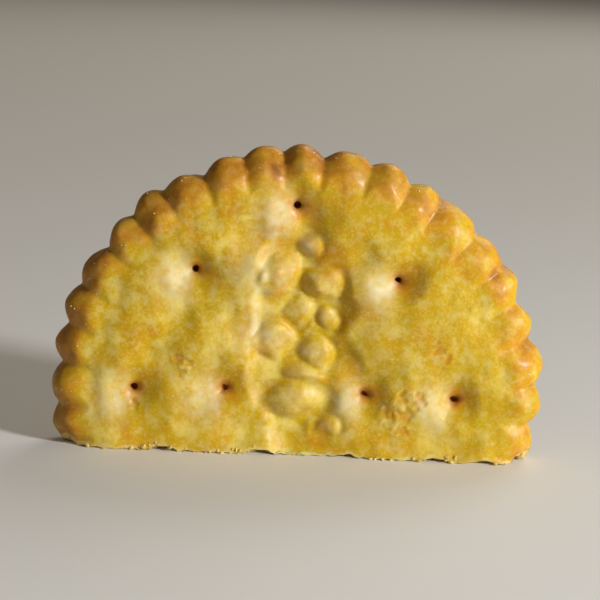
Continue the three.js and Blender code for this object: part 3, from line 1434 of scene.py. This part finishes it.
@dataclass(frozen=True)
class CreamAndSheenShares:
    """Where pale dough and a painted sheen lie, and how much; the sheen is painted on the lit
    slopes of the dimples and the band. Places in millimetres.
    """

    sheen_side: tuple[float, float] = (-1.6, -0.8)  # the lit side of a dimple, from its hole, where a sheen is painted
    hole_reach: float = 2.1
    # the painted sheen keeps to the left of each hole
    sheen_border: Span = (0.5, -0.8)
    lost_in_band: float = 0.75
    # painted sheen on the band's lit left slope
    band_slope: float = 0.3
    slope_spread: float = 0.25
    slope_waves: Waves = Waves(5.0, 75)
    slope_left: Span = (2.0, -2.0)
    slope_bottom: Span = (-6.0, 2.0)
    patches: tuple[tuple[float, float, float], ...] = (  # painted sheen beside the band's left slope: X, Z and reach
        (-4.9, 12.2, 1.9),
        (-3.2, 15.4, 1.5),
        (-4.7, 6.2, 2.0),
        (-4.2, 9.2, 1.2),
    )
    patch: float = 0.55
    blisters: float = 0.4
    cloudy: float = 0.8
    clouds: tuple[tuple[Waves, float], ...] = ((Waves(0.9, 73), 0.22), (Waves(3.5, 74), 0.16))
    pock_edges: float = 0.4
    edge_waves: Waves = Waves(0.9, 79)
    edge_range: Span = (-0.3, 0.8)  # of the waves


@dataclass
class CrackerHalf:
    """The cracker itself: crust, holes, blisters, scalloped rim and broken edge."""

    disc: Disc = field(default_factory=Disc)
    rim: ScallopedRim = field(default_factory=ScallopedRim)
    holes: DockerHoles = field(default_factory=DockerHoles)
    band: BlisterBand = field(default_factory=BlisterBand)
    swellings: Swellings = field(default_factory=Swellings)
    bursts: BurstBlisters = field(default_factory=BurstBlisters)
    bubbles: Bubbles = field(default_factory=Bubbles)
    undulation: Undulation = field(default_factory=Undulation)
    edge: BrokenEdge = field(default_factory=BrokenEdge)
    brown: BrownAndShadeShares = field(default_factory=BrownAndShadeShares)
    # where pale dough and a painted sheen lie
    pale: CreamAndSheenShares = field(default_factory=CreamAndSheenShares)
    rim_steps: int = 16
    rim_sides: int = 216
    grid: float = 0.195  # millimetres between vertices of the finished mesh
    mouth: Span = (1.1, 0.5)  # the pits' walls end, and hold in full, this far out
    wobble: float = 0.05  # of those walls
    wobble_waves: tuple[Waves, Waves] = (Waves(1.4, 76), Waves(1.4, 77))
    shoulder: float = 2.65  # from here the skin is eased in
    furthest: float = 2.85  # and it never stands further out than this
    shaded_side: tuple[float, float] = (0.7, -0.2)  # the shaded side of a dimple, from its hole, where shade is painted as a deeper gold
    shade_reach: float = 1.35
    # painted shade on the band's right slope
    shade_slope: float = 0.6
    shade_from: Span = (-1.0, 3.0)
    inside_from: Span = (0.93, 0.75)  # fullness, from the crust to the crumb
    break_from: Span = (0.25, 0.1)  # above the break
    chip_crumb: float = 0.85
    # painted shade deep in each pit and round its mouth
    deep_from: Span = (1.02, 0.6)  # of the half thickness
    deep_reach: Span = (0.95, 0.6)  # from a hole's middle
    mouth_shade: float = 0.3
    mouth_reach: Span = (0.8, 0.45)
    crumb_reach: float = 0.45  # loose crumbs lie within about this far above the break
    crumb_from: Span = (0.5, 0.9)  # fullness, so that they lie on the crust
    crumb_room: float = 2.45  # and no further out than this
    salt_on_face: float = 0.15
    salt_rim: Span = (19.0, 23.0)
    salt_lowest: float = 0.8  # above the break
    salt_room: float = 2.6

    def blank(self) -> bpy.types.Object:
        """Models the plain rounded disc: one face, drawn out round the rim to the other.

        Returns:
            The disc.
        """
        disc = self.disc
        deselect_all()
        bpy.ops.mesh.primitive_circle_add(
            vertices=self.rim_sides,
            radius=disc.face_radius * MM,
            fill_type="NGON",
            location=disc.centre() - Vector((0.0, disc.half_thickness * MM, 0.0)),
            rotation=(math.pi / 2, 0.0, 0.0),
        )
        piece = take_new(NODE + "_crust")
        bpy.ops.object.transform_apply(location=True, rotation=True, scale=True)
        bpy.ops.object.mode_set(mode="EDIT")
        bpy.ops.mesh.select_all(action="SELECT")
        radius, y = disc.face_radius, -disc.half_thickness
        for next_radius, next_y in disc.rim_section(self.rim_steps):
            bpy.ops.mesh.extrude_region_move(
                TRANSFORM_OT_translate={"value": (0.0, (next_y - y) * MM, 0.0)}
            )
            stretch = next_radius / radius
            bpy.ops.transform.resize(value=(stretch, 1.0, stretch), center_override=disc.centre())
            radius, y = next_radius, next_y
        bpy.ops.mesh.select_all(action="SELECT")
        bpy.ops.mesh.normals_make_consistent(inside=False)
        bpy.ops.object.mode_set(mode="OBJECT")
        return piece

    def pierce(self, piece: bpy.types.Object) -> None:
        """Cuts the docker pits.

        Args:
            piece: The plain disc.
        """
        pins = join_pieces(self.holes.cutters(self.disc), "docker_pins")
        apply_modifier(piece, "BOOLEAN", operation="DIFFERENCE", solver="EXACT", object=pins)
        bpy.data.objects.remove(pins)

    def snap(self, piece: bpy.types.Object) -> None:
        """Takes away what lies below the break and closes the cut.

        Args:
            piece: The disc.
        """
        make_active(piece)
        bpy.ops.object.mode_set(mode="EDIT")
        bpy.ops.mesh.select_all(action="SELECT")
        bpy.ops.mesh.bisect(
            plane_co=(0.0, 0.0, 0.0),
            plane_no=(0.0, 0.0, 1.0),
            use_fill=True,
            clear_inner=True,
            threshold=1e-6,
        )
        bpy.ops.object.mode_set(mode="OBJECT")

    def sculpt(self, piece: bpy.types.Object) -> None:
        """Raises and sinks the skin, and keeps the masks that the crust is coloured by.

        Args:
            piece: The even-meshed half disc.
        """
        mesh = piece.data
        skin = Skin(mesh, self.disc)
        forms = (
            self.rim,
            self.holes,
            self.band,
            self.swellings,
            self.bursts,
            self.bubbles,
            self.undulation,
        )
        rise = sum(form.rise(skin) for form in forms)
        lift = self.edge.lift(skin) * self.edge.fade(skin)
        near = smooth_step(*self.mouth, self.holes.distance(skin))
        follow = skin.fullness**2 * (1.0 - near) + self.holes.sinking(skin) * near
        skin.points += skin.outwards() * (rise * follow)[:, None]
        for axis, waves in zip((0, 2), self.wobble_waves):
            skin.points[:, axis] += self.wobble * near * waves.at(skin.points)
        skin.points[:, 1] += self.disc.saddle(skin.x, skin.z)
        skin.points[:, 2] += lift
        skin.points[:, 1] = self.held_in(skin.points[:, 1])
        skin.write(mesh)
        # the browning mask also carries painted shade and painted light, the pit mask painted
        # shade, and the cream mask a painted sheen
        write_mask(mesh, "browning_and_shade", self.browning_and_shade(skin))
        write_mask(mesh, "crumb", self.crumb(skin))
        write_mask(mesh, "pit", self.pit(skin))
        write_mask(mesh, "cream_and_sheen", self.cream_and_sheen(skin))

    def held_in(self, y: np.ndarray) -> np.ndarray:
        """Eases the highest points in, so that the piece keeps its thickness.

        Args:
            y: How far each point stands towards +Y from the middle of the disc.

        Returns:
            The same, never further out than the thickness allows.
        """
        far = y + self.disc.mid_plane
        over = np.maximum(np.abs(far) - self.shoulder, 0.0)
        room = self.furthest - self.shoulder
        eased = np.minimum(np.abs(far), self.shoulder) + room * np.tanh(over / room)
        return np.sign(far) * eased - self.disc.mid_plane

    def browning_and_shade(self, skin: Skin) -> np.ndarray:
        """How brown each point is baked, with painted shade and painted light laid in.

        Args:
            skin: The moved points.

        Returns:
            From 0 for pale to 1 for dark.
        """
        share = self.brown
        out = (skin.radius - self.disc.face_radius) / self.disc.rim_width()
        rim = smooth_step(*share.rim_from, out)
        uneven = share.patches.at(skin.points) + share.clouds.at(skin.points)
        left = smooth_step(*share.left_from, np.cos(skin.angle))
        from_corner = np.cos(skin.angle - math.radians(share.corner))
        corner = smooth_step(*share.corner_from, from_corner)
        # painted light: the paler patches are stronger on the left of the face
        right = smooth_step(*share.right_from, skin.x + share.right_lean * skin.z)
        fair = 1.0 - (1.0 - share.fair_on_right) * right
        fair *= smooth_step(*share.fair_range, share.fair_waves.at(skin.points)) * skin.shown
        notch = self.rim.notch(skin) * smooth_step(*share.notch_from, skin.roll)

        brown = share.face + share.uneven * uneven + share.fair * fair
        brown += share.back * skin.back + share.back_bumps * self.undulation.bumps(skin)
        # painted shade, darker towards the top of the shown face
        brown += share.top * smooth_step(*share.top_from, skin.z) * skin.shown
        # the left and upper left of the rim: toasting, and painted shade
        brown += rim * (share.rim + share.rim_left * left + share.rim_corner * corner)
        brown += rim * share.uneven_rim * uneven
        # toasting, and painted shade in the rim's notches
        brown += notch * (share.notch + share.notch_corner * corner)
        # reddish crust, and painted shade, round each hole
        brown += share.holes * bell(self.holes.distance(skin), share.hole_reach) * skin.shown
        # painted shade on the shaded side of each dimple and on the band's right slope
        brown += share.blisters * self.band.raised(skin) + share.ochre_shade * self.ochre_shade(skin)
        brown += share.pocks * self.bursts.open(skin) + share.pock_edges * self.bursts.edge(skin)
        burnt = np.maximum(brown - share.brownest, 0.0)
        eased = np.minimum(brown, share.brownest) + share.easing * np.tanh(burnt / share.easing)
        return np.clip(eased, 0.0, 1.0)

    def crumb(self, skin: Skin) -> np.ndarray:
        """Where the pale crumb is bare.

        Args:
            skin: The moved points.

        Returns:
            From 0 to 1 where it is bare.
        """
        inside = smooth_step(*self.inside_from, skin.fullness)
        inside = inside * smooth_step(*self.break_from, skin.above_break)
        return np.clip(np.maximum(inside, self.chip_crumb * self.edge.bare(skin)), 0.0, 1.0)

    def pit(self, skin: Skin) -> np.ndarray:
        """How deep down a docker pit each point is, for painted shade there and round its mouth.

        Args:
            skin: The points.

        Returns:
            From 0 on the skin to 1 in the pits.
        """
        distance = self.holes.distance(skin)
        deep = smooth_step(*self.deep_from, skin.through) * smooth_step(*self.deep_reach, distance)
        mouth = self.mouth_shade * smooth_step(*self.mouth_reach, distance) * (skin.through > 0.5)
        return np.maximum(deep, mouth)

    def ochre_shade(self, skin: Skin) -> np.ndarray:
        """Where shade is painted as a deeper gold: on the shaded side of each dimple and on the
        band's right slope.

        Args:
            skin: The points.

        Returns:
            From 0 to 1 where the painted shade is deepest.
        """
        total = np.zeros(len(skin.x))
        for x, z in self.holes.places:
            away = skin.away_from(x + self.shaded_side[0], z + self.shaded_side[1])
            total += bell(away, self.shade_reach)
        right = smooth_step(*self.shade_from, skin.x - self.band.x)
        total += self.shade_slope * self.band.slope(skin) * right
        return np.clip(total, 0.0, 1.0) * skin.shown

    def cream_and_sheen(self, skin: Skin) -> np.ndarray:
        """Where pale dough and a painted sheen lie: a painted sheen on the lit side of each
        dimple, on the band's left slope and beside it, and pale dough on the blisters and round
        the pocks.

        Args:
            skin: The moved points.

        Returns:
            From 0 to 1 where the pale dough and the painted sheen are strongest.
        """
        share = self.pale
        total = np.zeros(len(skin.x))
        # painted sheen on the lit side of each dimple, stopping at its hole
        for x, z in self.holes.places:
            away = skin.away_from(x + share.sheen_side[0], z + share.sheen_side[1])
            total += bell(away, share.hole_reach) * smooth_step(*share.sheen_border, skin.x - x)
        total *= 1.0 - share.lost_in_band * self.band.sunk(skin)
        # painted sheen on the band's lit left slope
        slope = self.band.slope(skin) * smooth_step(*share.slope_left, skin.x - self.band.x)
        slope *= smooth_step(*share.slope_bottom, skin.z)
        uneven = share.slope_spread * share.slope_waves.at(skin.points)
        total += slope * (share.band_slope + uneven)
        # painted sheen beside the band
        for x, z, reach in share.patches:
            total += share.patch * bell(skin.away_from(x, z), reach)
        total += share.blisters * self.band.raised(skin)
        total *= share.cloudy + sum(size * waves.at(skin.points) for waves, size in share.clouds)
        crumbly = smooth_step(*share.edge_range, share.edge_waves.at(skin.points))
        total += share.pock_edges * self.bursts.edge(skin) * crumbly
        return np.clip(total, 0.0, 1.0) * skin.shown

    def crumb_chance(self, skin: Skin) -> np.ndarray:
        """How likely each point is to carry a loose crumb.

        Args:
            skin: The points.

        Returns:
            A weight for each, which is most beside the break.
        """
        low = bell(skin.above_break, self.crumb_reach)
        low = low * smooth_step(*self.crumb_from, skin.fullness)
        return low * (np.abs(skin.y + self.disc.mid_plane) < self.crumb_room) + TINY

    def salt_chance(self, skin: Skin) -> np.ndarray:
        """How likely each point is to carry a grain of salt.

        Args:
            skin: The points.

        Returns:
            A weight for each, which is most on the rim.
        """
        room = np.abs(skin.y + self.disc.mid_plane) < self.salt_room
        room &= skin.above_break > self.salt_lowest
        return (self.salt_on_face + smooth_step(*self.salt_rim, skin.radius)) * room + TINY

    def build(self) -> bpy.types.Object:
        """Models and dresses the cracker.

        Returns:
            The finished piece.
        """
        piece = self.blank()
        self.pierce(piece)
        self.snap(piece)
        apply_modifier(piece, "REMESH", mode="VOXEL", voxel_size=self.grid * MM)
        self.sculpt(piece)
        piece.data.materials.clear()
        piece.data.materials.append(CrustFinish().make())
        make_active(piece)
        bpy.ops.object.shade_smooth()
        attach(piece, BODY)
        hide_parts(NODE)
        return piece


@dataclass
class Scatter:
    """Small grains that stick to the crust, all of one kind."""

    name: str
    count: int
    smallest: float  # millimetres across
    largest: float
    roughness: float  # how uneven a grain is
    flatness: float
    seed: int
    sunk: float = 0.3  # share of a grain's half width that lies in the crust
    rarity: float = 2.2  # how much rarer large grains are than small ones
    dents: int = 8
    dent_size: float = 0.9  # in the grain's width
    dent_seeds: int = 1 << 30
    narrowing: Span = (0.6, 1.0)
    flattening: Span = (0.7, 1.1)
    deepest: float = 0.7  # the deepest tone
    lean: float = 0.5  # radians that a grain leans at most
    spin: float = 6.3  # radians that it turns at most, about once round
    crease: float = 40.0  # degrees between faces from which an edge looks sharp
    grain_steps: int = 2

    def grain(self) -> bpy.types.Object:
        """Models one even grain of unit size at the origin.

        Returns:
            The grain.
        """
        deselect_all()
        bpy.ops.mesh.primitive_ico_sphere_add(subdivisions=self.grain_steps, radius=0.5)
        return take_new(self.name)

    def places(self, mesh: bpy.types.Mesh, weight: np.ndarray) -> list[tuple[Vector, Vector]]:
        """Draws places on the cracker's mesh.

        Args:
            mesh: The cracker's mesh.
            weight: How likely each vertex is to be drawn.

        Returns:
            Pairs of a point and the skin's direction there.
        """
        draw = np.random.default_rng(self.seed)
        chosen = draw.choice(len(weight), self.count, replace=False, p=weight / weight.sum())
        return [(mesh.vertices[i].co.copy(), mesh.vertices[i].normal.copy()) for i in chosen]

    def one(
        self, model: bpy.types.Object, place: Vector, up: Vector, draw: np.random.Generator
    ) -> bpy.types.Object:
        """Copies the grain to one place, turned, stretched and dented in its own way.

        Args:
            model: The grain.
            place: A point of the crust, in metres.
            up: The crust's direction there.
            draw: The source of random numbers.

        Returns:
            The copy.
        """
        copy = model.copy()
        copy.data = model.data.copy()
        larger = draw.uniform() ** self.rarity
        size = (self.smallest + (self.largest - self.smallest) * larger) * MM
        points = read_points(copy.data)
        seed = int(draw.integers(self.dent_seeds))
        dents = Waves(self.dent_size, seed, count=self.dents).at(points)
        points *= (1.0 + self.roughness * dents)[:, None]
        width, height = draw.uniform(*self.narrowing), draw.uniform(*self.flattening)
        points *= np.array([1.0, width, self.flatness * height])
        write_points(copy.data, points)
        write_mask(copy.data, "tone", np.full(len(points), self.deepest * draw.uniform() ** 2))
        leans = [draw.uniform(-self.lean, self.lean) for _ in range(2)]
        spin = Euler((*leans, draw.uniform(0, self.spin)))
        turn = up.to_track_quat("Z", "Y").to_matrix() @ spin.to_matrix()
        lift = size * 0.5 * self.flatness * (1.0 - 2.0 * self.sunk)
        copy.matrix_world = Matrix.LocRotScale(place + up * lift, turn, Vector((size, size, size)))
        bpy.context.collection.objects.link(copy)
        return copy

    def rest_on_ground(self, mesh: bpy.types.Mesh) -> None:
        """Flattens what would reach below the ground.

        Args:
            mesh: The joined grains.
        """
        points = read_points(mesh)
        points[:, 2] = np.maximum(points[:, 2], 0.0)
        write_points(mesh, points)

    def build(
        self, cracker: bpy.types.Object, weight: np.ndarray, finish: GrainFinish
    ) -> bpy.types.Object:
        """Scatters the grains and joins them.

        Args:
            cracker: The cracker that they stick to.
            weight: How likely each of its vertices is to carry one.
            finish: The grains' finish.

        Returns:
            The joined grains.
        """
        model = self.grain()
        draw = np.random.default_rng(self.seed + 1)
        places = self.places(cracker.data, weight)
        copies = [self.one(model, place, up, draw) for place, up in places]
        bpy.data.objects.remove(model)
        piece = join_pieces(copies, self.name)
        self.rest_on_ground(piece.data)
        piece.data.materials.clear()
        piece.data.materials.append(finish.make())
        bpy.ops.object.shade_smooth_by_angle(angle=math.radians(self.crease))
        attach(piece, BODY)
        return piece


@dataclass(frozen=True)
class SoftLight:
    """A square soft light that faces the piece."""

    name: str
    azimuth: float  # degrees to the right of the camera's side
    height: float  # degrees above the horizon
    away: float  # metres
    size: float
    watts: float
    colour: Colour = WHITE

    def hang(self, target: Vector) -> None:
        """Hangs the light.

        Args:
            target: The point that it faces.
        """
        turn, up = math.radians(self.azimuth), math.radians(self.height)
        way = Vector((math.sin(turn) * math.cos(up), -math.cos(turn) * math.cos(up), math.sin(up)))
        bpy.ops.object.light_add(type="AREA", location=target + way * self.away)
        lamp = bpy.context.active_object
        lamp.name = self.name
        lamp.rotation_euler = (-way).to_track_quat("-Z", "Y").to_euler()
        lamp.data.size = self.size
        lamp.data.energy = self.watts
        lamp.data.color = self.colour


@dataclass
class Studio:
    """The pale floor, the soft lights and the camera. Lengths in metres."""

    floor_size: float = 6.0
    view_width: float = 0.058  # what the frame takes in at the piece
    lens: float = 120.0
    sensor: float = 36.0
    elevation: float = 10.7  # degrees above the horizon
    lean: float = 2.5  # degrees that the camera is turned round its own axis
    target: Vector = field(default_factory=lambda: Vector((0.0, 0.0, 0.015)))
    lights: tuple[SoftLight, ...] = (
        SoftLight("key_light", 54, 17, 0.4, 0.06, 1.8),
        SoftLight("fill_light", -30, 35, 0.8, 0.5, 0.1),
        SoftLight("back_light", 150, 42, 1.1, 0.6, 3.3, (1.0, 0.93, 0.82)),
    )
    clip_start: float = 0.01
    room_colour: Colour = (1.0, 0.88, 0.68)
    room_strength: float = 0.11

    def floor(self) -> None:
        """Lays the floor."""
        deselect_all()
        bpy.ops.mesh.primitive_plane_add(size=self.floor_size, location=(0.0, 0.0, 0.0))
        floor = take_new("pale_floor")
        floor.data.materials.append(FloorFinish().make())

    def room(self) -> None:
        """Lights the room all round."""
        world = bpy.data.worlds.new("pale_room")
        world.use_nodes = True
        shade = world.node_tree.nodes["Background"]
        shade.inputs["Color"].default_value = rgba(self.room_colour)
        shade.inputs["Strength"].default_value = self.room_strength
        bpy.context.scene.world = world

    def camera(self) -> None:
        """Sets the camera up at the photograph's angle."""
        away = self.view_width / self.sensor * self.lens
        up = math.radians(self.elevation)
        place = self.target + Vector((0.0, -math.cos(up) * away, math.sin(up) * away))
        bpy.ops.object.camera_add(location=place)
        camera = bpy.context.active_object
        look = self.target - place
        roll = Matrix.Rotation(math.radians(self.lean), 3, look.normalized())
        turn = roll.transposed() @ look.to_track_quat("-Z", "Y").to_matrix()
        camera.rotation_euler = turn.to_euler()
        camera.data.lens = self.lens
        camera.data.sensor_width = self.sensor
        camera.data.clip_start = self.clip_start
        bpy.context.scene.camera = camera

    def build(self) -> None:
        """Sets up the whole studio."""
        self.floor()
        for light in self.lights:
            light.hang(self.target)
        self.room()
        self.camera()
        bpy.context.scene.view_settings.view_transform = "Standard"


def report(piece: bpy.types.Object) -> None:
    """Logs a piece's name and size."""
    log.info("%s: %d faces", piece.name, len(piece.data.polygons))


def main() -> None:
    """Builds the pieces in order."""
    logging.basicConfig(level=logging.INFO, format="%(name)s: %(message)s")
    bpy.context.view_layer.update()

    body = CrackerHalf()
    cracker = body.build()
    report(cracker)

    skin = Skin(cracker.data, body.disc)
    crumbs = Scatter(
        "edge_crumbs", 150, smallest=0.18, largest=0.55, roughness=0.16, flatness=0.75, seed=81
    )
    report(crumbs.build(cracker, body.crumb_chance(skin), CRUMB))
    salt = Scatter(
        "salt_grains",
        240,
        smallest=0.07,
        largest=0.17,
        roughness=0.08,
        flatness=0.85,
        seed=91,
        grain_steps=1,
    )
    report(salt.build(cracker, body.salt_chance(skin), SALT))

    Studio().build()


if __name__ == "__main__":
    main()
